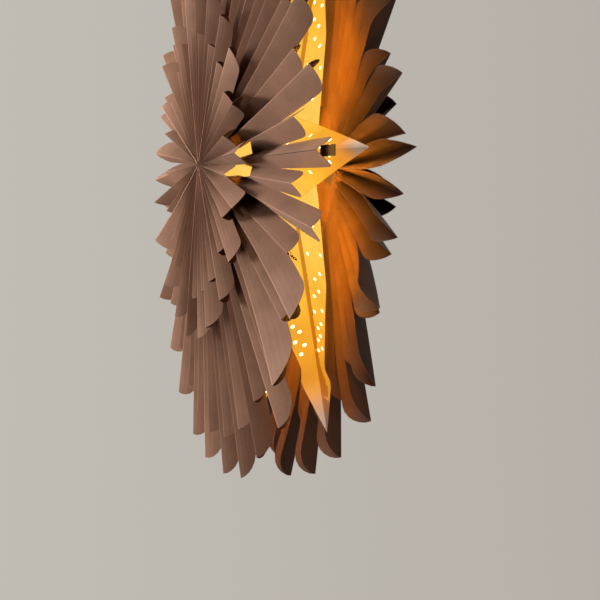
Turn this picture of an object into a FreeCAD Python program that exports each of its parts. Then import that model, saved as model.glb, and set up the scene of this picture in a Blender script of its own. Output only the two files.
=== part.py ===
import FreeCAD, Part
import math
import os

# Hanging star lantern of folded paper, millimetres, +Z up.
# The flat star body stands in the plane y = 0, its front faces -Y, and its seam is at +X.
# The origin is the mouth of the cord grip, where the supply cord comes out at the top.

# ---- driving dimensions ----------------------------------------------------------------
SECTORS = 7                     # star points, and glued segments in every pleated ring
GRIP_HEIGHT = 196.0             # mouth of the cord grip above the centre of the star
SEAM_ANGLE = -1.3               # where the outer rings open, degrees above +X

# star body: (distance along the point, half depth) of the ridge, from centre to waist
RIDGE = [(0.0, 46.0), (45.0, 42.0), (148.0, 30.0), (180.0, 23.0), (242.0, 10.4), (259.0, 13.4)]
POINT_REACH = [311.0, 311.0, 304.0, 308.0, 304.0, 297.0, 311.0]
VALLEY_RADIUS = 94.0            # notch between two star points
STAR_WALL = 1.2

# outer rings: 4 long and 4 short petals in each segment
OUTER_FOLDS = 8
OUTER_HOLE = 60.0
OUTER_NOTCH = (150.0, 108.0, 146.0, 75.0)    # the front hole is wider at the folds next to the seam
OUTER_LONG = 300.0
OUTER_SHORT = 260.0
OUTER_HEIGHT = (62.0, 44.5)     # mountain folds over the star's plane, at the hole and at the rim
OUTER_BACK_HEIGHT = (62.0, 38.0)
OUTER_DEPTH = (13.0, 16.0)      # mountain fold to valley fold
OUTER_ROUND = 27.0              # how far a petal's end is rounded back

# inner rosettes: 3 long and 3 short petals in each segment
INNER_FOLDS = 6
INNER_HOLE = 12.0
INNER_LONG = 168.0
INNER_SHORT = 128.0
INNER_HEIGHT = (69.0, 75.0)
INNER_DEPTH = (5.0, 13.0)
INNER_ROUND = 16.0

PAPER = 1.0                     # sheet thickness of a pleated ring, along Y
END_STEPS = 3                   # straight pieces in each rounded petal end

# centre of the rosettes
HUB_RADIUS = 22.0
HUB_THICKNESS = 1.5
HUB_OFFSET = 61.0               # inner face of the hub disc from the star's plane
SPACER_RADIUS = 8.0
SPACER_BORE = 5.0

# seam tab
TAB_LENGTH = 22.0
TAB_WIDTH = 9.5
TAB_THICKNESS = 1.0
TAB_START = 283.0               # inner end, from the centre
TAB_HEIGHT = (33.0, 27.5)       # inner and outer end, from the star's plane

# stem and fittings, heights from the centre of the star
STEM_RADIUS = 4.0
STEM_BORE = 2.8
STEM_BOTTOM = 70.0
STEM_TOP = 178.0
STEM_HOLE = 5.0                 # hole in the paper
COLLAR_RADIUS = 9.0
COLLAR_BASE = 97.0
COLLAR_HEIGHT = 3.0
GRIP_RADIUS = 7.0
GRIP_BASE = 164.0
GRIP_BORE = 3.1
GRIP_NUT_HEIGHT = 12.0

# E14 lamp holder, hanging mouth down
HOLDER_RADIUS = 14.0
HOLDER_WALL = 1.4
HOLDER_MOUTH = 19.0
HOLDER_SPLIT = 50.0
HOLDER_TOP = 74.0
SCREW_SHELL_BORE = 7.25
SCREW_SHELL_WALL = 0.5
INSULATOR_HEIGHT = 4.0

# round LED bulb with an E14 cap
CAP_RADIUS = 6.9
CAP_TOP = 42.0
CAP_BOTTOM = 18.0
CAP_WALL = 0.6
CONTACT_RADIUS = 2.2
CONTACT_HEIGHT = 2.2
HOUSING_RADIUS = 17.0
HOUSING_BOTTOM = 4.0
GLOBE_RADIUS = 22.5
GLOBE_CENTRE = -10.7
GLOBE_WALL = 0.8
BOARD_RADIUS = 13.0
BOARD_THICKNESS = 1.6

SECTOR = 360.0 / SECTORS
UP = FreeCAD.Vector(0, 0, 1)
AXIS_Y = FreeCAD.Vector(0, 1, 0)
FRONT = -1.0
BACK = 1.0

os.makedirs("parts", exist_ok=True)


def export(shape, node):
    """Move a shape from the star's centre to the part's frame and write it."""
    placed = shape.copy()
    placed.translate(FreeCAD.Vector(0, 0, -GRIP_HEIGHT))
    placed.exportStep("parts/" + node + ".step")
    print(node, len(placed.Solids), placed.isValid(), round(placed.Volume, 1))


def on_face(radius, angle, height, side):
    """Point at a distance and angle from the centre; height is towards the given side."""
    turn = math.radians(angle)
    return FreeCAD.Vector(radius * math.cos(turn), side * height, radius * math.sin(turn))


def between(pair, share):
    return pair[0] + (pair[1] - pair[0]) * share


def solid_of(polygons):
    """Closed solid bounded by flat polygons."""
    faces = [Part.Face(Part.makePolygon(corners + corners[:1])) for corners in polygons]
    shell = Part.Shell(faces)
    shell.sewShape()
    solid = Part.Solid(Part.Shell(shell.Faces))
    if solid.Volume < 0:
        solid.reverse()
    return solid


def thickened(points, triangles, shift):
    """Solid between a triangulated sheet and its copy moved by shift."""
    moved = [point + shift for point in points]
    edges = {}
    for a, b, c in triangles:
        for edge in ((a, b), (b, c), (c, a)):
            key = (min(edge), max(edge))
            edges[key] = edges.get(key, 0) + 1
    polygons = [[points[i] for i in triangle] for triangle in triangles]
    polygons += [[moved[i] for i in triangle] for triangle in triangles]
    for (a, b), uses in edges.items():
        if uses == 1:
            polygons.append([points[a], points[b], moved[b], moved[a]])
    return solid_of(polygons)


# ---- star body -------------------------------------------------------------------------
def star_skin(reach, inset):
    """Corner points of one star point's skin, pulled inwards by inset.

    Returns the ridge (along, half depth) and the side edge (along, half width).
    """
    half = math.radians(SECTOR / 2)
    valley_along = VALLEY_RADIUS * math.cos(half)
    valley_width = VALLEY_RADIUS * math.sin(half)
    slope = valley_width / (reach - valley_along)
    ridge = [(along, depth - inset) for along, depth in RIDGE]
    valley = VALLEY_RADIUS - 2 * inset
    edge = [(valley * math.cos(half), valley * math.sin(half))]
    for along, depth in RIDGE:
        if along > valley_along:
            edge.append((along, (reach - along) * slope - inset))
    tip = (reach - 12 * inset, 0.0)
    return ridge + [tip], edge + [tip]


def star_faces(reach, inset, side, hand):
    """Triangles of the face between one ridge and one side edge."""
    ridge, edge = star_skin(reach, inset)
    ridge = [FreeCAD.Vector(along, side * depth, 0) for along, depth in ridge]
    edge = [FreeCAD.Vector(along, 0, hand * width) for along, width in edge]
    first = len(ridge) - len(edge) + 1
    triangles = [[ridge[i], ridge[i + 1], edge[0]] for i in range(first)]
    for i in range(first, len(ridge) - 1):
        low = edge[i - first]
        high = edge[i - first + 1]
        triangles.append([ridge[i], high, low])
        triangles.append([ridge[i], ridge[i + 1], high])
    return triangles


def star_point(index):
    """Folded paper shell of one star point, open towards the centre of the star."""
    reach = POINT_REACH[index]
    polygons = []
    for side in (FRONT, BACK):
        for hand in (-1.0, 1.0):
            outer = star_faces(reach, 0.0, side, hand)
            inner = star_faces(reach, STAR_WALL, side, hand)
            polygons += outer + inner
            polygons.append([outer[0][0], outer[0][2], inner[0][2], inner[0][0]])
    shell = solid_of(polygons)
    shell.rotate(FreeCAD.Vector(), AXIS_Y, -index * SECTOR)
    hole = Part.makeCylinder(STEM_HOLE, GRIP_BASE - COLLAR_BASE, FreeCAD.Vector(0, 0, COLLAR_BASE))
    if shell.common(hole).Volume > 0:
        shell = shell.cut(hole)
    return shell


# ---- pleated rings ---------------------------------------------------------------------
def fold_point(ring, angle, radius, is_valley):
    """Point on a mountain or valley fold line, before it is put on its side."""
    share = (radius - ring["hole"]) / (ring["long"] - ring["hole"])
    height = between(ring["height"], share)
    if is_valley:
        height -= between(ring["depth"], share)
    return on_face(radius, angle, height, 1.0)


def hole_radius(ring, line):
    """Inner end of a fold line; lines count mountains and valleys in turn from the seam."""
    lines = 2 * ring["folds"] * SECTORS
    from_seam = min(line % lines, lines - line % lines)
    if from_seam < len(ring["notch"]):
        return ring["notch"][from_seam]
    return ring["hole"]


def pleated_segment(ring, number, side):
    """One glued segment: petals folded along mountain folds, long and short in turn."""
    pitch = SECTOR / ring["folds"]
    points = []
    triangles = []
    known = {}

    def add(name, point):
        if name not in known:
            known[name] = len(points)
            points.append(FreeCAD.Vector(point.x, side * point.y, point.z))
        return known[name]

    first = 2 * ring["folds"] * number
    for facet in range(first, first + 2 * ring["folds"]):
        mountain = facet + facet % 2
        valley = facet + 1 - facet % 2
        mountain_angle = ring["seam"] + mountain * pitch / 2
        valley_angle = ring["seam"] + valley * pitch / 2
        is_long = mountain % 4 == 0
        reach = ring["long"] if is_long else ring["short"]
        inner = []
        outer = []
        for step in range(END_STEPS + 1):
            turn = math.pi / 2 * step / END_STEPS
            share = math.sin(turn)
            start = between((hole_radius(ring, mountain), hole_radius(ring, valley)), share)
            end = reach - ring["round"] * (1 - math.cos(turn))
            name = {0: mountain, END_STEPS: valley}.get(step, (facet, step))
            for radius, row in ((start, inner), (end, outer)):
                ridge = fold_point(ring, mountain_angle, radius, False)
                trough = fold_point(ring, valley_angle, radius, True)
                row.append(add((name, radius), ridge + (trough - ridge) * share))
        for step in range(END_STEPS):
            triangles.append((inner[step], outer[step], outer[step + 1]))
            if is_long and step == END_STEPS - 1:
                neighbour = ring["short"] - ring["round"]
                trough = fold_point(ring, valley_angle, neighbour, True)
                shared = add((valley, neighbour), trough)
                triangles.append((inner[step], outer[step + 1], shared))
                triangles.append((inner[step], shared, inner[step + 1]))
            else:
                triangles.append((inner[step], outer[step + 1], inner[step + 1]))
    return thickened(points, triangles, FreeCAD.Vector(0, -side * PAPER, 0))


OUTER_RING = {
    "folds": OUTER_FOLDS,
    "seam": SEAM_ANGLE,
    "hole": OUTER_HOLE,
    "notch": OUTER_NOTCH,
    "long": OUTER_LONG,
    "short": OUTER_SHORT,
    "height": OUTER_HEIGHT,
    "depth": OUTER_DEPTH,
    "round": OUTER_ROUND,
}
INNER_RING = {
    "folds": INNER_FOLDS,
    "seam": 0.0,
    "hole": INNER_HOLE,
    "notch": (),
    "long": INNER_LONG,
    "short": INNER_SHORT,
    "height": INNER_HEIGHT,
    "depth": INNER_DEPTH,
    "round": INNER_ROUND,
}


# ---- centre discs, spacers and seam tab --------------------------------------------------
def hub_disc(side):
    """Card disc that the rosette's folds are glued to."""
    base = FreeCAD.Vector(0, side * HUB_OFFSET, 0)
    return Part.makeCylinder(HUB_RADIUS, HUB_THICKNESS, base, AXIS_Y * side)


def hub_spacer(side):
    """Card tube between the star body and the hub disc."""
    start = side * RIDGE[0][1]
    length = HUB_OFFSET - RIDGE[0][1]
    base = FreeCAD.Vector(0, start, 0)
    tube = Part.makeCylinder(SPACER_RADIUS, length, base, AXIS_Y * side)
    return tube.cut(Part.makeCylinder(SPACER_BORE, length, base, AXIS_Y * side))


def seam_tab():
    """Small card tab across the front seam, under the ends of the two seam petals."""
    corners = []
    for along, height in ((TAB_START, TAB_HEIGHT[0]), (TAB_START + TAB_LENGTH, TAB_HEIGHT[1])):
        corners.append(FreeCAD.Vector(along, FRONT * height, -TAB_WIDTH / 2))
        corners.append(FreeCAD.Vector(along, FRONT * (height - TAB_THICKNESS), -TAB_WIDTH / 2))
    outline = [corners[0], corners[2], corners[3], corners[1], corners[0]]
    tab = Part.Face(Part.makePolygon(outline)).extrude(FreeCAD.Vector(0, 0, TAB_WIDTH))
    tab.rotate(FreeCAD.Vector(), AXIS_Y, -SEAM_ANGLE)
    return tab


# ---- stem, cord grip and fittings --------------------------------------------------------
def tube(outer, bore, base, top):
    body = Part.makeCylinder(outer, top - base, FreeCAD.Vector(0, 0, base))
    return body.cut(Part.makeCylinder(bore, top - base, FreeCAD.Vector(0, 0, base)))


def turned(profile):
    """Solid of revolution about the Z axis from (radius, height) corners."""
    corners = [FreeCAD.Vector(radius, 0, height) for radius, height in profile]
    face = Part.Face(Part.makePolygon(corners + corners[:1]))
    return face.revolve(FreeCAD.Vector(), UP, 360)


def cord_grip_body():
    """Grip sleeve screwed over the stem's top end, with a shoulder for the grip nut."""
    shoulder = GRIP_HEIGHT - GRIP_NUT_HEIGHT
    return turned([
        (STEM_RADIUS, GRIP_BASE), (GRIP_RADIUS, GRIP_BASE), (GRIP_RADIUS, shoulder),
        (GRIP_BORE + 1.2, shoulder), (GRIP_BORE + 1.2, GRIP_HEIGHT - 2.0),
        (GRIP_BORE, GRIP_HEIGHT - 2.0), (GRIP_BORE, STEM_TOP), (STEM_RADIUS, STEM_TOP),
    ])


def cord_grip_nut():
    """Ribbed nut that squeezes the grip sleeve on the cord."""
    shoulder = GRIP_HEIGHT - GRIP_NUT_HEIGHT
    return turned([
        (GRIP_BORE + 1.2, shoulder), (GRIP_RADIUS, shoulder), (GRIP_RADIUS, GRIP_HEIGHT - 3.0),
        (GRIP_RADIUS - 2.0, GRIP_HEIGHT), (GRIP_BORE, GRIP_HEIGHT), (GRIP_BORE, GRIP_HEIGHT - 2.0),
        (GRIP_BORE + 1.2, GRIP_HEIGHT - 2.0),
    ])


# ---- lamp holder -------------------------------------------------------------------------
def holder_cap():
    """Domed top half of the lamp holder, screwed to the stem."""
    inner = HOLDER_RADIUS - HOLDER_WALL
    return turned([
        (STEM_RADIUS, HOLDER_TOP), (STEM_RADIUS + 3.0, HOLDER_TOP), (STEM_RADIUS + 4.0, HOLDER_TOP - 5.0),
        (HOLDER_RADIUS - 2.0, HOLDER_TOP - 12.0), (HOLDER_RADIUS, HOLDER_SPLIT + 4.0),
        (HOLDER_RADIUS, HOLDER_SPLIT), (inner, HOLDER_SPLIT), (inner, HOLDER_SPLIT + 4.0),
        (inner - 2.0, HOLDER_TOP - 13.0), (STEM_RADIUS + 1.5, STEM_BOTTOM - 1.0),
        (STEM_RADIUS, STEM_BOTTOM - 1.0),
    ])


def holder_skirt():
    """Plain lower sleeve of the lamp holder."""
    return tube(HOLDER_RADIUS, HOLDER_RADIUS - HOLDER_WALL, HOLDER_MOUTH, HOLDER_SPLIT)


def holder_insulator():
    """Ceramic disc that carries the screw shell and the centre contact."""
    base = HOLDER_SPLIT - INSULATOR_HEIGHT
    return Part.makeCylinder(HOLDER_RADIUS - HOLDER_WALL, INSULATOR_HEIGHT, FreeCAD.Vector(0, 0, base))


def holder_screw_shell():
    top = HOLDER_SPLIT - INSULATOR_HEIGHT
    return tube(SCREW_SHELL_BORE + SCREW_SHELL_WALL, SCREW_SHELL_BORE, HOLDER_MOUTH + 2.0, top)


def holder_contact():
    """Springy centre contact under the insulator."""
    top = HOLDER_SPLIT - INSULATOR_HEIGHT
    height = top - (CAP_TOP + CONTACT_HEIGHT) - 0.3
    return Part.makeBox(7.0, 3.0, height, FreeCAD.Vector(-3.5, -1.5, top - height))


# ---- bulb --------------------------------------------------------------------------------
def bulb_screw_cap():
    inner = CAP_RADIUS - CAP_WALL
    return turned([
        (0, CAP_TOP), (CONTACT_RADIUS, CAP_TOP), (CAP_RADIUS, CAP_TOP - 3.0), (CAP_RADIUS, CAP_BOTTOM),
        (inner, CAP_BOTTOM), (inner, CAP_TOP - 3.5), (CONTACT_RADIUS, CAP_TOP - CAP_WALL),
        (0, CAP_TOP - CAP_WALL),
    ])


def bulb_contact():
    return Part.makeCylinder(CONTACT_RADIUS, CONTACT_HEIGHT, FreeCAD.Vector(0, 0, CAP_TOP))


def bulb_housing():
    """White plastic cone that holds the driver, between the cap and the globe."""
    return turned([
        (0, CAP_BOTTOM), (CAP_RADIUS + 1.0, CAP_BOTTOM), (HOUSING_RADIUS, HOUSING_BOTTOM + 3.0),
        (HOUSING_RADIUS, HOUSING_BOTTOM), (0, HOUSING_BOTTOM),
    ])


def bulb_globe():
    """Thin opal bowl, closed below and open at the housing."""
    centre = FreeCAD.Vector(0, 0, GLOBE_CENTRE)
    bowl = Part.makeSphere(GLOBE_RADIUS, centre).cut(Part.makeSphere(GLOBE_RADIUS - GLOBE_WALL, centre))
    above = Part.makeBox(60, 60, 60, FreeCAD.Vector(-30, -30, HOUSING_BOTTOM))
    return bowl.cut(above)


def led_board():
    base = FreeCAD.Vector(0, 0, HOUSING_BOTTOM - BOARD_THICKNESS)
    return Part.makeCylinder(BOARD_RADIUS, BOARD_THICKNESS, base)


# ---- write every sub-part ----------------------------------------------------------------
for number in range(SECTORS):
    export(star_point(number), "star_point_%d" % (number + 1))

back_ring = dict(OUTER_RING, notch=(), height=OUTER_BACK_HEIGHT)
for side, word, outer_ring in ((FRONT, "front", OUTER_RING), (BACK, "back", back_ring)):
    for number in range(SECTORS):
        export(pleated_segment(outer_ring, number, side), "%s_outer_pleats_%d" % (word, number + 1))
        export(pleated_segment(INNER_RING, number, side), "%s_inner_pleats_%d" % (word, number + 1))
    export(hub_disc(side), word + "_hub_disc")
    export(hub_spacer(side), word + "_hub_spacer")

export(seam_tab(), "front_seam_tab")
export(tube(STEM_RADIUS, STEM_BORE, STEM_BOTTOM, STEM_TOP), "stem_tube")
export(tube(COLLAR_RADIUS, STEM_RADIUS, COLLAR_BASE, COLLAR_BASE + COLLAR_HEIGHT), "support_collar")
export(cord_grip_body(), "cord_grip_body")
export(cord_grip_nut(), "cord_grip_nut")
export(holder_cap(), "holder_cap")
export(holder_skirt(), "holder_skirt")
export(holder_insulator(), "holder_insulator")
export(holder_screw_shell(), "holder_screw_shell")
export(holder_contact(), "holder_contact")
export(bulb_screw_cap(), "bulb_screw_cap")
export(bulb_contact(), "bulb_contact")
export(bulb_housing(), "bulb_housing")
export(bulb_globe(), "bulb_globe")
export(led_board(), "led_board")
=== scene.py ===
"""Hanging star lantern of folded paper: the visual model around the CAD frame, in metres."""
import math
import random

import bpy
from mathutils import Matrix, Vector
from mathutils.geometry import delaunay_2d_cdt


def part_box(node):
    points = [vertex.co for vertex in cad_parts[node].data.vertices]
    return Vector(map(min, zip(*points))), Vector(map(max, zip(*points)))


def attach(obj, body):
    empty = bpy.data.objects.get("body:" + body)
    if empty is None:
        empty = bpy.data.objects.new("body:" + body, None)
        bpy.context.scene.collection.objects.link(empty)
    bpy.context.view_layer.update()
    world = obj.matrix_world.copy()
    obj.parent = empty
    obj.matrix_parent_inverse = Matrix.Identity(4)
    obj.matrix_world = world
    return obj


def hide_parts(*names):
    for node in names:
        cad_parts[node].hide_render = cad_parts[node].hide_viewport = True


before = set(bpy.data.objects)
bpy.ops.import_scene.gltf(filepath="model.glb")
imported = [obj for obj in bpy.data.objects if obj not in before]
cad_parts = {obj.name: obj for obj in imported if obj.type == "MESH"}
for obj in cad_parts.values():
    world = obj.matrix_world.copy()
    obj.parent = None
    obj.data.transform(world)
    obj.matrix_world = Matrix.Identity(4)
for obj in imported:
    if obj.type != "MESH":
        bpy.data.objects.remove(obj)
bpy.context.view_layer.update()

# ---- places and sizes --------------------------------------------------------------------
# The paper's lengths are in millimetres and its angles in degrees; MM turns them into metres.
MM = 0.001
SECTORS = 7
SECTOR = 360.0 / SECTORS
FRONT = -1.0                     # sign of Y on each side of the star's plane
BACK = 1.0


def middle(low, high):
    return (low + high) / 2


disc_low, disc_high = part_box("front_hub_disc")
CENTRE = Vector((middle(disc_low[0], disc_high[0]), 0.0, middle(disc_low[2], disc_high[2])))

# star body: (distance along the point, half depth) of the ridge, which ends at the point's tip
RIDGE = [(0.0, 46.0), (45.0, 42.0), (148.0, 30.0), (180.0, 23.0), (242.0, 10.4), (259.0, 13.4)]
POINT_REACH = [311.0, 311.0, 304.0, 308.0, 304.0, 297.0, 311.0]
DROOP = 4.5                      # how far the tip of the first point hangs down
PAINTED_PALE_POINT = 0.03                # painted light: the first point turns white sooner, by this share of the reach, for the brighter light on it
VALLEY_RADIUS = 94.0
HALF_SECTOR = math.radians(SECTOR / 2)
VALLEY_ALONG = VALLEY_RADIUS * math.cos(HALF_SECTOR)
VALLEY_WIDTH = VALLEY_RADIUS * math.sin(HALF_SECTOR)
STAR_SHEET = 0.5
BAND_WIDTH = 5.0                 # glued flap along a side edge, seen as a darker band

# punched holes: pricks in two wandering rows along each face, closer together towards the tip
HOLE_RADIUS = 1.45
HOLE_SPACING = {FRONT: (15.0, 6.0), BACK: (15.0, 4.8)}
HOLE_REACH = (86.0, 232.0)
HOLE_MARGIN = 3.0                # from the ridge; the rows share the rest of the face's width
FIRST_ROW = 0.18
ROW_GAP = 0.46
ROW_WANDER = 0.14

# the star's mesh
EDGE_STEPS = 46                  # along the ridge, and along the side edge
VALLEY_STEPS = 9
HOLE_CORNERS = 14
SPOT_STEP = 6.5                  # between the rows of inner points
SPOT_CLEARANCE = 1.2             # between an inner point and a hole

# Pleated rings, with long and short petals in turn. Each petal is a mountain fold and the facets
# on both sides of it, down to the valley folds.
#   folds           mountain folds in one of the seven segments
#   hole, notch     where the folds start, and where the ones next to the seam start instead
#   long, short     how far the two kinds of petal reach
#   start           angle of the seam
#   height          of a mountain fold over the star's plane, at the hole and at the rim
#   depth, opens    of the valley folds at the hole and fully open, and how far out that is
#   round           length of a petal's rounded end
#   slit            how far in from that end, on a short petal, the valleys' slits start
#   stray, ragged   how far petals turn from their places, and how much shorter they are cut
#   closing         how far a free petal's sides turn in, as a share of their width
#   folding         how far they drop
OUTER = {
    "name": "outer", "folds": 8, "hole": 60.0, "notch": (96.0, 108.0, 146.0, 75.0),
    "long": 300.0, "short": 260.0, "start": -1.3, "height": (62.0, 44.5), "depth": (13.0, 16.0),
    "round": 27.0, "slit": 60.0, "opens": 240.0, "stray": 1.1, "ragged": 6.0,
    "closing": 0.24, "folding": 5.5,
}
OUTER_BACK = dict(OUTER, notch=(), height=(62.0, 38.0), closing=0.28, folding=9.0)
INNER = {
    "name": "inner", "folds": 6, "hole": 3.5, "notch": (),
    "long": 168.0, "short": 128.0, "start": 0.0, "height": (69.0, 75.0), "depth": (4.0, 13.0),
    "round": 16.0, "slit": 26.0, "opens": 50.0, "stray": 2.0, "ragged": 9.0,
    "closing": 0.12, "folding": 2.0,
}
SEAM_PETAL = {
    FRONT: {"reach": 301.0, "turn": 0.0, "lift": -2.5, "curl": -1.0, "round": 13.0},
    BACK: {"reach": 301.0, "turn": 0.8, "lift": 6.5, "curl": 0.0, "round": 30.0},
}
# outer petals that hang nearer to the star or further from it: (lift in mm, turn in degrees)
BENT = {
    FRONT: {52: (7.0, -2.4), 50: (11.0, -3.2), 48: (-5.0, -0.6)},
    BACK: {
        1: (13.0, -3.0), 55: (11.0, -1.2), 54: (-5.0, -1.0), 53: (2.0, 0.0), 52: (-14.0, 0.0),
        50: (-2.0, -3.0), 48: (6.0, 0.5), 46: (-4.0, 0.5), 44: (-9.0, 0.0), 42: (-12.0, -1.0),
    },
}
# a valley of the front rosette that gapes near the hub: (ring, side, mountain fold, valley fold)
OPEN_FOLD = ("inner", FRONT, 41, 40)
OPEN_FOLD_END = 74.0
OPEN_FOLD_GAPE = 0.9             # how much narrower its facet gets, as a share
LIFT_STRAY = 3.5                 # how far petals lift and curl by chance
CURL_STRAY = 2.0
ROUND_STRAY = 0.1                # as a share of the rounded end's length
VALLEY_STRAY = 0.4               # valley folds turn less than petals, by this factor
BELLY = 0.7                      # how far a facet bows out between its folds
HELD_BELLY = 0.4                 # the part of it that is there where the sheet isn't slit
SHEET = 0.35
ACROSS = 6                       # strips across a facet
ALONG = 22                       # steps along a fold


def rand(*key):
    """The same number from 0 to 1 for the same key."""
    return random.Random(repr(key)).random()


def swing(*key):
    """The same number from -1 to 1 for the same key."""
    return 2 * rand(*key) - 1


def mix(a, b, share):
    return a + (b - a) * share


def at(radius, angle, height, side):
    """Point at a distance in mm and an angle in degrees on a face of the rings."""
    turn = math.radians(angle)
    return Vector((
        CENTRE.x + radius * MM * math.cos(turn),
        side * height * MM,
        CENTRE.z + radius * MM * math.sin(turn),
    ))


# ---- materials ---------------------------------------------------------------------------
def grey(value):
    return (value, value, value)


def new_material(name):
    """Node material with a principled shader; returns it with its tree and shader."""
    material = bpy.data.materials.new(name)
    material.use_nodes = True
    return material, material.node_tree, material.node_tree.nodes["Principled BSDF"]


def node(tree, kind, **inputs):
    """New node with values on the named inputs, where _ stands for a space."""
    made = tree.nodes.new(kind)
    for name, value in inputs.items():
        made.inputs[name.replace("_", " ")].default_value = value
    return made


def object_place(tree):
    """The object's own coordinates."""
    return tree.nodes.new("ShaderNodeTexCoord").outputs["Object"]


def vector_math(tree, operation, value, constant=(0.0, 0.0, 0.0)):
    """Outputs of a vector operation on a socket and, where it takes two, a constant."""
    made = tree.nodes.new("ShaderNodeVectorMath")
    made.operation = operation
    made.inputs[1].default_value = constant
    tree.links.new(value, made.inputs[0])
    return made.outputs


def noise(tree, scale, detail=3.0, roughness=0.5):
    """Noise over the object's own coordinates."""
    texture = node(tree, "ShaderNodeTexNoise", Scale=scale, Detail=detail, Roughness=roughness)
    tree.links.new(object_place(tree), texture.inputs["Vector"])
    return texture.outputs["Fac"]


def ramp(tree, value, stops):
    """Colour ramp from (position, colour) stops."""
    made = tree.nodes.new("ShaderNodeValToRGB")
    elements = made.color_ramp.elements
    for index, (position, colour) in enumerate(stops):
        stop = elements[index] if index < 2 else elements.new(position)
        stop.position = position
        stop.color = (*colour, 1.0)
    tree.links.new(value, made.inputs["Fac"])
    return made.outputs["Color"]


def blend_colours(tree, kind, share, first, second):
    """Mix two colours; share is a number or a socket."""
    made = tree.nodes.new("ShaderNodeMix")
    made.data_type = "RGBA"
    made.blend_type = kind
    # a mix node's sockets for colours: factor 0, colours 6 and 7, and result 2
    for socket, value in ((made.inputs[0], share), (made.inputs[6], first), (made.inputs[7], second)):
        if isinstance(value, bpy.types.NodeSocket):
            tree.links.new(value, socket)
        else:
            socket.default_value = value if isinstance(value, float) else (*value, 1.0)
    return made.outputs[2]


def bump(tree, shader, value, strength, distance):
    """Bump from a value; distance is in metres."""
    made = node(tree, "ShaderNodeBump", Strength=strength, Distance=distance)
    tree.links.new(value, made.inputs["Height"])
    tree.links.new(made.outputs["Normal"], shader.inputs["Normal"])


def attribute(tree, name):
    """Value that give_values stored on the mesh."""
    made = tree.nodes.new("ShaderNodeAttribute")
    made.attribute_name = name
    return made.outputs["Fac"]


def brown_paper(name, tint, groove_shade=1.0):
    """Mocha-dyed craft paper: fibre mottling, soft bump and paler fold lines, part wear and part painted
    highlight.

    With a groove value under 1, painted shade darkens the sheet to that share towards its mountain
    folds, which lie at the bottom of grooves on the side that faces the star.
    """
    material, tree, shader = new_material(name)
    fibres = noise(tree, 900.0, 6.0, 0.65)
    clouds = noise(tree, 22.0, 3.0, 0.55)
    base = ramp(tree, fibres, [(0.30, [0.84 * c for c in tint]), (0.72, [1.12 * c for c in tint])])
    shade = ramp(tree, clouds, [(0.30, (0.82, 0.80, 0.79)), (0.70, grey(1.12))])
    mottled = blend_colours(tree, "MULTIPLY", 1.0, base, shade)
    if groove_shade < 1.0:
        # painted shade: darker towards the mountain folds, at the bottom of the grooves
        groove_shading = ramp(tree, attribute(tree, "fold"), [(0.05, grey(groove_shade)), (0.85, grey(1.1))])
        mottled = blend_colours(tree, "MULTIPLY", 1.0, mottled, groove_shading)
    # paler line along each mountain fold: part worn fibres, part painted highlight
    worn_and_highlight = ramp(tree, attribute(tree, "fold"), [(0.0, grey(0.62)), (0.030, grey(0.25)), (0.06, grey(0.0))])
    pale = [min(1.0, 2.1 * c + 0.05) for c in tint]
    coloured = blend_colours(tree, "MIX", worn_and_highlight, mottled, pale)
    # painted shade: a near-black line along the seam's mountain fold, for the shadowed gap between two
    # segments
    seam_shade = ramp(tree, attribute(tree, "seam"), [(0.90, grey(0.0)), (0.94, grey(1.0))])
    coloured = blend_colours(tree, "MIX", seam_shade, coloured, (0.012, 0.007, 0.004))
    tree.links.new(coloured, shader.inputs["Base Color"])
    shader.inputs["Roughness"].default_value = 0.82
    shader.inputs["Specular IOR Level"].default_value = 0.22
    bump(tree, shader, fibres, 0.22, 0.0006)
    return material


def glow_paper():
    """White paper with lamplight coming through: yellow near the lamp, fading to white at the tips."""
    material, tree, shader = new_material("glow_paper")
    from_lamp = vector_math(tree, "SUBTRACT", object_place(tree), CENTRE)["Vector"]
    length = vector_math(tree, "LENGTH", from_lamp)["Value"]
    reach = node(tree, "ShaderNodeMapRange", From_Max=max(POINT_REACH) * MM)
    tree.links.new(length, reach.inputs["Value"])
    paled = tree.nodes.new("ShaderNodeMath")
    paled.operation = "ADD"
    tree.links.new(reach.outputs["Result"], paled.inputs[0])
    tree.links.new(attribute(tree, "pale"), paled.inputs[1])
    distance = paled.outputs["Value"]
    lamp = ramp(tree, distance, [
        (0.0, (1.0, 0.66, 0.14)), (0.35, (1.0, 0.60, 0.09)), (0.56, (1.0, 0.52, 0.045)),
        (0.76, (0.90, 0.36, 0.022)), (0.88, (0.74, 0.275, 0.030)), (0.945, (0.28, 0.14, 0.065)),
        (1.0, (0.03, 0.02, 0.015)),
    ])
    clouds = ramp(tree, noise(tree, 34.0, 3.0, 0.5), [(0.30, (0.90, 0.87, 0.82)), (0.70, grey(1.05))])
    lit = blend_colours(tree, "MULTIPLY", 1.0, lamp, clouds)
    band = ramp(tree, attribute(tree, "tab"), [(0.45, grey(1.0)), (0.55, (0.60, 0.42, 0.26))])
    lit = blend_colours(tree, "MULTIPLY", 1.0, lit, band)
    tree.links.new(lit, shader.inputs["Emission Color"])
    shader.inputs["Emission Strength"].default_value = 1.0
    # base colour: dark amber where the painted lamplight glows, so that the lamps add little there; pale
    # paper at the tips
    paper = ramp(tree, distance, [(0.84, (0.09, 0.048, 0.010)), (0.955, (0.74, 0.62, 0.52))])
    tree.links.new(paper, shader.inputs["Base Color"])
    shader.inputs["Roughness"].default_value = 0.75
    shader.inputs["Specular IOR Level"].default_value = 0.15
    bump(tree, shader, noise(tree, 420.0, 5.0, 0.6), 0.15, 0.0005)
    return material


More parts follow.
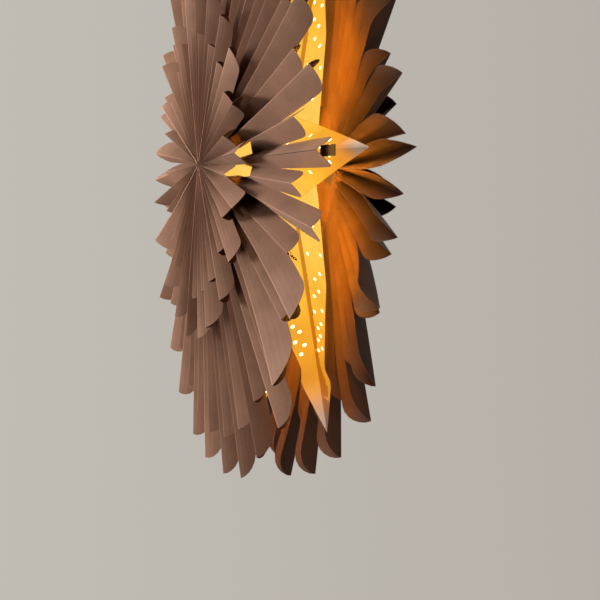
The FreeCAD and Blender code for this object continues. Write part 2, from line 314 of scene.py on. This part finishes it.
def glowing(name, colour, strength):
    """Surface that the lamp lights from behind or close by: card, glass, the star's inside."""
    material, tree, shader = new_material(name)
    grain = ramp(tree, noise(tree, 60.0), [(0.3, [0.92 * c for c in colour]), (0.7, colour)])
    tree.links.new(grain, shader.inputs["Emission Color"])
    shader.inputs["Emission Strength"].default_value = strength
    shader.inputs["Base Color"].default_value = (0.8, 0.7, 0.5, 1.0)
    shader.inputs["Roughness"].default_value = 0.5
    return material


def plain(name, colour, roughness, metallic=0.0):
    """Moulded plastic, ceramic or metal: slight colour variation and a fine surface."""
    material, tree, shader = new_material(name)
    grain = noise(tree, 160.0, 4.0, 0.6)
    dark = [0.90 * c for c in colour]
    light = [min(1.0, 1.05 * c) for c in colour]
    tree.links.new(ramp(tree, grain, [(0.3, dark), (0.7, light)]), shader.inputs["Base Color"])
    shader.inputs["Roughness"].default_value = roughness
    shader.inputs["Metallic"].default_value = metallic
    bump(tree, shader, grain, 0.12, 0.0003)
    return material


BROWN = (0.205, 0.104, 0.063)
brown = brown_paper("brown_paper", BROWN)
brown_edge = brown_paper("brown_paper_edge", tuple(1.35 * c for c in BROWN))
# paper with painted shade in its grooves, for the side that faces the star
brown_groove_shade = brown_paper("brown_paper_groove_shade", BROWN, 0.30)
card = brown_paper("amber_card", (0.200, 0.085, 0.010))
glow = glow_paper()
lit_inside = glowing("lit_inside", (1.0, 0.84, 0.50), 2.6)


# ---- mesh helpers ------------------------------------------------------------------------
def make_object(name, points, faces, materials):
    """Mesh object at the origin with its materials in the given order of slots."""
    mesh = bpy.data.meshes.new(name)
    mesh.from_pydata([tuple(point) for point in points], [], faces)
    mesh.update()
    piece = bpy.data.objects.new(name, mesh)
    bpy.context.scene.collection.objects.link(piece)
    for material in materials:
        mesh.materials.append(material)
    return piece


def give_values(piece, name, values):
    """Store one value for each point, for attribute to read in a material."""
    layer = piece.data.attributes.new(name, "FLOAT", "POINT")
    layer.data.foreach_set("value", values)


def give_thickness(piece, thickness, edge_slot, offset_slot):
    """Thicken a sheet; the rim and the offset side take their own material slots."""
    solid = piece.modifiers.new("thickness", "SOLIDIFY")
    solid.thickness = thickness * MM
    solid.offset = 0.0
    solid.material_offset = offset_slot
    solid.material_offset_rim = edge_slot


# ---- pleated rings -----------------------------------------------------------------------
def petal_traits(ring, side, index):
    """How one petal differs from its neighbours, in mm and degrees."""
    key = (ring["name"], side, index)
    is_long = index % 2 == 0
    traits = {
        "reach": (ring["long"] if is_long else ring["short"]) - ring["ragged"] * rand(*key, "reach"),
        "turn": ring["stray"] * swing(*key, "turn"),
        "lift": LIFT_STRAY * swing(*key, "lift"),
        "sinks": 0.0,
        "curl": CURL_STRAY * swing(*key, "curl"),
        "round": ring["round"] * (1 - ROUND_STRAY + 2 * ROUND_STRAY * rand(*key, "round")),
    }
    if ring["name"] == "outer" and index == 0:
        traits.update(SEAM_PETAL[side])
    if ring["name"] == "outer" and index in BENT[side]:
        traits["lift"], traits["turn"] = BENT[side][index]
        traits["sinks"] = traits["lift"]
    return traits


def fold_line(ring, side, radius, index, is_valley, traits):
    """Angle and height of a fold line at a radius."""
    pitch = SECTOR / ring["folds"]
    share = max(0.0, (radius - ring["hole"]) / (ring["long"] - ring["hole"]))
    height = mix(*ring["height"], share)
    angle = ring["start"] + pitch * (index + (0.5 if is_valley else 0.0))
    if is_valley:
        drop = min(1.0, math.sqrt(max(0.0, radius - ring["hole"]) / ring["opens"]))
        height -= mix(*ring["depth"], drop)
        angle += VALLEY_STRAY * ring["stray"] * swing(ring["name"], side, index, "valley") * share
        height += swing(ring["name"], side, index, "valley height") * share
    else:
        angle += traits["turn"] * share
        height += traits["lift"] * share * share
    return angle, height


def hole_radius(ring, line):
    """Inner end of a fold line; lines count mountains and valleys in turn from the seam."""
    lines = 2 * ring["folds"] * SECTORS
    from_seam = min(line % lines, lines - line % lines)
    return ring["notch"][from_seam] if from_seam < len(ring["notch"]) else ring["hole"]


def slit_radius(ring):
    """Where the valleys' slits start."""
    return ring["short"] - ring["round"] - ring["slit"]


def facet_grid(ring, side, mountain, valley, traits):
    """Rows of points of one facet, from its mountain fold to its valley fold.

    The second list says how far across the facet each row lies, from 0 at the mountain to 1.
    """
    rows = []
    shares = []
    petals = SECTORS * ring["folds"]
    gapes = (ring["name"], side, mountain % petals, valley % petals) == OPEN_FOLD
    slit = slit_radius(ring)
    for column in range(ACROSS + 1):
        share = math.sin(math.pi / 2 * column / ACROSS)
        start = mix(hole_radius(ring, 2 * mountain), hole_radius(ring, 2 * valley + 1), share)
        end = traits["reach"] - traits["round"] * (1 - math.sqrt(max(0.0, 1 - share * share)))
        row = []
        for step in range(ALONG + 1):
            radius = mix(start, end, step / ALONG)
            top_angle, top_height = fold_line(ring, side, radius, mountain, False, traits)
            low_angle, low_height = fold_line(ring, side, radius, valley, True, traits)
            free = max(0.0, (radius - slit) / (ring["long"] - slit))
            across = share * (1 - ring["closing"] * free)
            if gapes and radius < OPEN_FOLD_END:
                across *= 1 - OPEN_FOLD_GAPE * math.sin(math.pi * radius / OPEN_FOLD_END)
            angle = mix(top_angle, low_angle, across)
            height = mix(top_height, low_height, across)
            height += BELLY * math.sin(math.pi * share) * (HELD_BELLY + free)
            height += share * free * (traits["curl"] * free - ring["folding"] + traits["sinks"] * free)
            row.append(at(radius, angle, height, side))
        rows.append(row)
        shares.append(share)
    return rows, shares


def pleated_segment(ring, side, number):
    """One glued segment of a ring, as one folded sheet with slit valleys."""
    points = []
    faces = []
    fold_values = []
    seam_values = []
    known = {}
    first = ring["folds"] * (number - 1)
    petals = SECTORS * ring["folds"]
    for facet in range(2 * ring["folds"]):
        # even facets run from a mountain to the next valley, odd ones from there to the next mountain
        mountain = first + (facet + facet % 2) // 2
        valley = first + facet // 2
        traits = petal_traits(ring, side, mountain % petals)
        rows, shares = facet_grid(ring, side, mountain, valley, traits)
        grid = []
        for column, row in enumerate(rows):
            line = []
            for point in row:
                radius = (point - Vector((CENTRE.x, point.y, CENTRE.z))).length / MM
                is_shared = column == 0 or (column == ACROSS and radius < slit_radius(ring))
                key = tuple(round(value, 6) for value in point) if is_shared else None
                if key is None or key not in known:
                    points.append(point)
                    fold_values.append(shares[column])
                    # marks the seam's mountain fold, where the painted shade goes
                    seam_values.append(1.0 if column == 0 and mountain % petals == 0 else 0.0)
                    if key is not None:
                        known[key] = len(points) - 1
                    line.append(len(points) - 1)
                else:
                    line.append(known[key])
            grid.append(line)
        for column in range(ACROSS):
            for step in range(ALONG):
                quad = (grid[column][step], grid[column][step + 1],
                        grid[column + 1][step + 1], grid[column + 1][step])
                faces.append(quad if (facet % 2 == 0) == (side > 0) else quad[::-1])
    word = "front" if side == FRONT else "back"
    # slot 0 is the side that faces the star, with painted shade in its grooves, slot 1 the cut edge and slot
    # 2 the outer side
    piece = make_object("%s_%s_paper_%d" % (word, ring["name"], number), points, faces,
                        [brown_groove_shade, brown_edge, brown])
    give_values(piece, "fold", fold_values)
    give_values(piece, "seam", seam_values)
    give_thickness(piece, SHEET, 1, 2)
    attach(piece, "lantern")
    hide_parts("%s_%s_pleats_%d" % (word, ring["name"], number))
    return piece


lit_pieces = []                  # what the star's light falls on
for side in (FRONT, BACK):
    for number in range(1, SECTORS + 1):
        lit_pieces.append(pleated_segment(OUTER if side == FRONT else OUTER_BACK, side, number))
        rosette = pleated_segment(INNER, side, number)
        if side == BACK:
            lit_pieces.append(rosette)


# ---- star body ---------------------------------------------------------------------------
def ridge_depth(along, reach):
    """Half depth of the ridge at a distance along the point."""
    stations = RIDGE + [(reach, 0.0)]
    for (start, low), (end, high) in zip(stations, stations[1:]):
        if along <= end:
            return mix(low, high, (along - start) / (end - start))
    return 0.0


def side_width(along, reach):
    """Half width of the point, from its ridge to its side edge or valley line."""
    if along < VALLEY_ALONG:
        return along * math.tan(HALF_SECTOR)
    return VALLEY_WIDTH * (reach - along) / (reach - VALLEY_ALONG)


def surface_height(along, across, reach):
    """Height of a star face over the star's plane."""
    width = max(1e-6, side_width(along, reach))
    edge = RIDGE[0][1] * (1 - along / VALLEY_ALONG) if along < VALLEY_ALONG else 0.0
    return mix(ridge_depth(along, reach), edge, min(1.0, across / width))


def punched_holes(side, reach):
    """Places of the punched holes on one star face: (along the point, out from the ridge)."""
    holes = []
    start, end = HOLE_REACH
    along = start
    while along < end:
        count = len(holes)
        width = side_width(along, reach) - BAND_WIDTH
        row = FIRST_ROW + ROW_GAP * (count % 2) + ROW_WANDER * math.sin(2.1 * count + side)
        holes.append((along, HOLE_MARGIN + row * max(0.0, width - HOLE_MARGIN)))
        along += mix(*HOLE_SPACING[side], (along - start) / (end - start))
    return holes


def face_outline(reach):
    """Flat outline of one star face, from the centre along its ridge and back by its side edge."""
    outline = [(reach * step / EDGE_STEPS, 0.0) for step in range(EDGE_STEPS)]
    outline.append((reach, 0.0))
    for step in range(EDGE_STEPS, 0, -1):
        along = VALLEY_ALONG + (reach - VALLEY_ALONG) * (step - 1) / EDGE_STEPS
        outline.append((along, side_width(along, reach)))
    for step in range(VALLEY_STEPS - 1, 0, -1):
        outline.append((VALLEY_ALONG * step / VALLEY_STEPS, VALLEY_WIDTH * step / VALLEY_STEPS))
    return outline


def face_triangles(reach, holes):
    """Flat pattern of one star face with its punched holes, as points and triangles."""
    points = [Vector(point) for point in face_outline(reach)]
    loops = [list(range(len(points)))]
    for along, across in holes:
        start = len(points)
        for corner in range(HOLE_CORNERS):
            turn = 2 * math.pi * corner / HOLE_CORNERS
            points.append(Vector((
                along + HOLE_RADIUS * math.cos(turn),
                across + HOLE_RADIUS * math.sin(turn),
            )))
        loops.append(list(range(start, start + HOLE_CORNERS)))
    stations = [SPOT_STEP * count for count in range(1, int(reach / SPOT_STEP))]
    stations += [station[0] for station in RIDGE[1:]]
    clear = HOLE_RADIUS + SPOT_CLEARANCE
    for along in stations:
        width = side_width(along, reach)
        band = width - BAND_WIDTH
        for across in (0.25 * width, 0.5 * width, 0.75 * width, band, band - 0.5):
            spot = Vector((along, across))
            if width > 3 and across > 1 and all((spot - Vector(hole)).length > clear for hole in holes):
                points.append(spot)
    inside_without_holes = 2     # triangles inside the first loop, with the other loops left open
    made = delaunay_2d_cdt(points, [], loops, inside_without_holes, 1e-4)
    return made[0], made[2]


def star_point(number):
    """One folded star point with real punched holes."""
    turn = math.radians((number - 1) * SECTOR)
    direction = Vector((math.cos(turn), 0, math.sin(turn)))
    normal = Vector((-math.sin(turn), 0, math.cos(turn)))
    flat = Vector((CENTRE.x, 0, CENTRE.z))
    reach = POINT_REACH[number - 1]
    points = []
    faces = []
    tabs = []
    for side in (FRONT, BACK):
        pattern, triangles = face_triangles(reach, punched_holes(side, reach))
        for hand in (-1.0, 1.0):
            start = len(points)
            for spot in pattern:
                height = surface_height(spot.x, spot.y, reach)
                place = flat + direction * spot.x * MM + normal * hand * spot.y * MM
                if number == 1:
                    place.z -= DROOP * MM * max(0.0, (spot.x - VALLEY_ALONG) / (reach - VALLEY_ALONG)) ** 2
                points.append(place + Vector((0, side * height * MM, 0)))
                edge = side_width(spot.x, reach) - spot.y
                is_tab = side == BACK and spot.x > VALLEY_ALONG and edge < BAND_WIDTH + 0.1
                tabs.append(1.0 if is_tab else 0.0)
            for triangle in triangles:
                turned = [start + i for i in triangle]
                faces.append(turned if side * hand < 0 else turned[::-1])
    # slot 0 is the outside, and slot 1 the inside and the edges of the holes
    piece = make_object("star_paper_%d" % number, points, faces, [glow, lit_inside])
    give_values(piece, "tab", tabs)
    # the first point is painted paler, for the brighter light on it
    give_values(piece, "pale", [PAINTED_PALE_POINT if number == 1 else 0.0] * len(points))
    merge = piece.modifiers.new("joined folds", "WELD")
    merge.merge_threshold = 0.02 * MM
    give_thickness(piece, STAR_SHEET, 1, 1)
    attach(piece, "lantern")
    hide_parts("star_point_%d" % number)


for number in range(1, SECTORS + 1):
    star_point(number)


# ---- CAD pieces that keep their shape ----------------------------------------------------
def dress(names, material):
    """Give CAD nodes a material."""
    for name in names:
        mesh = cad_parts[name].data
        mesh.materials.clear()
        mesh.materials.append(material)


dress(["front_hub_disc", "back_hub_disc"], brown)
dress(["front_hub_spacer", "back_hub_spacer"], glowing("lit_card", (1.0, 0.50, 0.10), 0.9))
dress(["front_seam_tab"], card)
dress(["stem_tube", "support_collar"], plain("steel", (0.55, 0.55, 0.55), 0.35, 1.0))
dress(["cord_grip_body", "cord_grip_nut", "holder_cap", "holder_skirt"],
      plain("white_plastic", (0.78, 0.77, 0.74), 0.5))
dress(["holder_insulator"], plain("ceramic", (0.80, 0.78, 0.73), 0.6))
dress(["holder_screw_shell", "holder_contact"], plain("brass", (0.72, 0.50, 0.20), 0.35, 1.0))
dress(["bulb_screw_cap", "bulb_contact"], plain("cap_metal", (0.62, 0.62, 0.63), 0.3, 1.0))
dress(["bulb_housing"], plain("housing_plastic", (0.85, 0.85, 0.83), 0.4))
dress(["bulb_globe"], glowing("opal_globe", (1.0, 0.72, 0.36), 14.0))
dress(["led_board"], plain("board", (0.85, 0.85, 0.82), 0.5))


# ---- camera, in metres -------------------------------------------------------------------
AZIMUTH = math.radians(73.8)
DISTANCE = 1.92
towards = Vector((math.sin(AZIMUTH), -math.cos(AZIMUTH), 0.0))     # from the lantern to the camera
right = Vector((math.cos(AZIMUTH), math.sin(AZIMUTH), 0.0))
up = Vector((0.0, 0.0, 1.0))
aim = CENTRE + right * 0.0307 - up * 0.1286

camera_data = bpy.data.cameras.new("camera")
camera_data.sensor_width = 36.0
camera_data.lens = 120.0
camera = bpy.data.objects.new("camera", camera_data)
camera.location = aim + towards * DISTANCE
camera.rotation_euler = (math.pi / 2, 0.0, AZIMUTH)
bpy.context.scene.collection.objects.link(camera)
bpy.context.scene.camera = camera


# ---- lights, in metres and watts ---------------------------------------------------------
def area_light(name, offset, size, power, colour):
    """Soft light at an offset from the lantern's centre, facing it; the camera doesn't see it."""
    data = bpy.data.lights.new(name, "AREA")
    data.size = size
    data.energy = power
    data.color = colour
    light = bpy.data.objects.new(name, data)
    light.location = CENTRE + offset
    light.rotation_euler = (-offset).to_track_quat("-Z", "Y").to_euler()
    light.visible_camera = False
    bpy.context.scene.collection.objects.link(light)


SOFT_WHITE = (1.0, 0.98, 0.96)
area_light("key", -right * 1.75 - towards * 0.42 + up * 0.10, 0.6, 80.0, (1.0, 0.975, 0.94))
area_light("front", towards * 2.0 - right * 1.5, 1.4, 18.5, SOFT_WHITE)
area_light("back", -towards * 1.8 + right * 0.1 + up * 0.95, 0.7, 34.0, SOFT_WHITE)
area_light("top", towards * 0.9 - right * 0.2 + up * 2.0, 1.0, 11.0, SOFT_WHITE)

# Lamplight at each notch of the star: side, distances in mm from the centre and outwards from the
# star's plane, and power. The lights are small, so that they stay clear of the paper.
SPILL = [
    (FRONT, 125.0, 14.0, 0.08),
    (BACK, 44.0, 42.0, 0.04),
    (BACK, 70.0, 28.0, 0.032),
    (BACK, 96.0, 8.0, 0.05),
    (BACK, 140.0, -8.0, 0.24),
    (BACK, 180.0, -12.0, 0.14),
]
SPILL_SIZE = 0.008
AMBER = (1.0, 0.40, 0.024)


def spill_lights(receivers):
    """Lamplight that the star throws from its notches, on the given pieces only."""
    lit = bpy.data.collections.new("lit_by_star")
    for piece in receivers:
        lit.objects.link(piece)
    for number in range(SECTORS):
        for side, radius, height, power in SPILL:
            data = bpy.data.lights.new("spill", "POINT")
            data.energy = power
            data.color = AMBER
            data.shadow_soft_size = SPILL_SIZE
            light = bpy.data.objects.new("spill", data)
            light.location = at(radius, (number + 0.5) * SECTOR, height, side)
            light.visible_camera = False
            light.light_linking.receiver_collection = lit
            bpy.context.scene.collection.objects.link(light)


spill_lights(lit_pieces)


# ---- stage, in metres --------------------------------------------------------------------
FLOOR_DROP = 1.5                 # below the lantern's centre
FLOOR_RADIUS = 3.4
FLOOR_CURVE = 1.2                # radius of the curve from floor to wall
CURVE_STEPS = 12
WALL_TOP = 7.0                   # above the floor
WALL_SIDES = 96


def studio_paint():
    """Even backdrop that shines by itself, a little darker towards the right."""
    paint, tree, shader = new_material("studio")
    sideways = vector_math(tree, "DOT_PRODUCT", object_place(tree), right)["Value"]
    spread = node(tree, "ShaderNodeMapRange", From_Min=-1.0, From_Max=1.0)
    tree.links.new(sideways, spread.inputs["Value"])
    tone = ramp(tree, spread.outputs["Result"], [(0.0, (0.568, 0.542, 0.485)), (1.0, (0.491, 0.455, 0.409))])
    tree.links.new(tone, shader.inputs["Emission Color"])
    shader.inputs["Emission Strength"].default_value = 0.93
    shader.inputs["Base Color"].default_value = (0.03, 0.03, 0.03, 1.0)
    shader.inputs["Roughness"].default_value = 0.95
    return paint


def studio_bowl():
    """Pale floor that curves up into a wall all round."""
    floor = CENTRE.z - FLOOR_DROP
    profile = [(0.0, floor), (FLOOR_RADIUS * 0.5, floor), (FLOOR_RADIUS, floor)]
    for step in range(1, CURVE_STEPS + 1):
        turn = math.pi / 2 * step / CURVE_STEPS
        outwards = FLOOR_RADIUS + FLOOR_CURVE * math.sin(turn)
        profile.append((outwards, floor + FLOOR_CURVE * (1 - math.cos(turn))))
    profile.append((FLOOR_RADIUS + FLOOR_CURVE, floor + WALL_TOP))
    points = []
    for radius, height in profile:
        for i in range(WALL_SIDES):
            turn = 2 * math.pi * i / WALL_SIDES
            points.append((radius * math.cos(turn), radius * math.sin(turn), height))
    faces = []
    for ring in range(len(profile) - 1):
        low = ring * WALL_SIDES
        high = low + WALL_SIDES
        for i in range(WALL_SIDES):
            j = (i + 1) % WALL_SIDES
            faces.append((low + i, low + j, high + j, high + i))
    bowl = make_object("studio_bowl", points, faces, [studio_paint()])
    bowl.data.polygons.foreach_set("use_smooth", [True] * len(bowl.data.polygons))
    bowl.visible_diffuse = False
    bowl.visible_glossy = False
    bowl.visible_shadow = False


studio_bowl()

world = bpy.data.worlds.new("studio")
world.use_nodes = True
world.node_tree.nodes["Background"].inputs["Color"].default_value = (1.0, 0.985, 0.96, 1.0)
world.node_tree.nodes["Background"].inputs["Strength"].default_value = 0.11
bpy.context.scene.world = world
bpy.context.scene.view_settings.view_transform = "Standard"
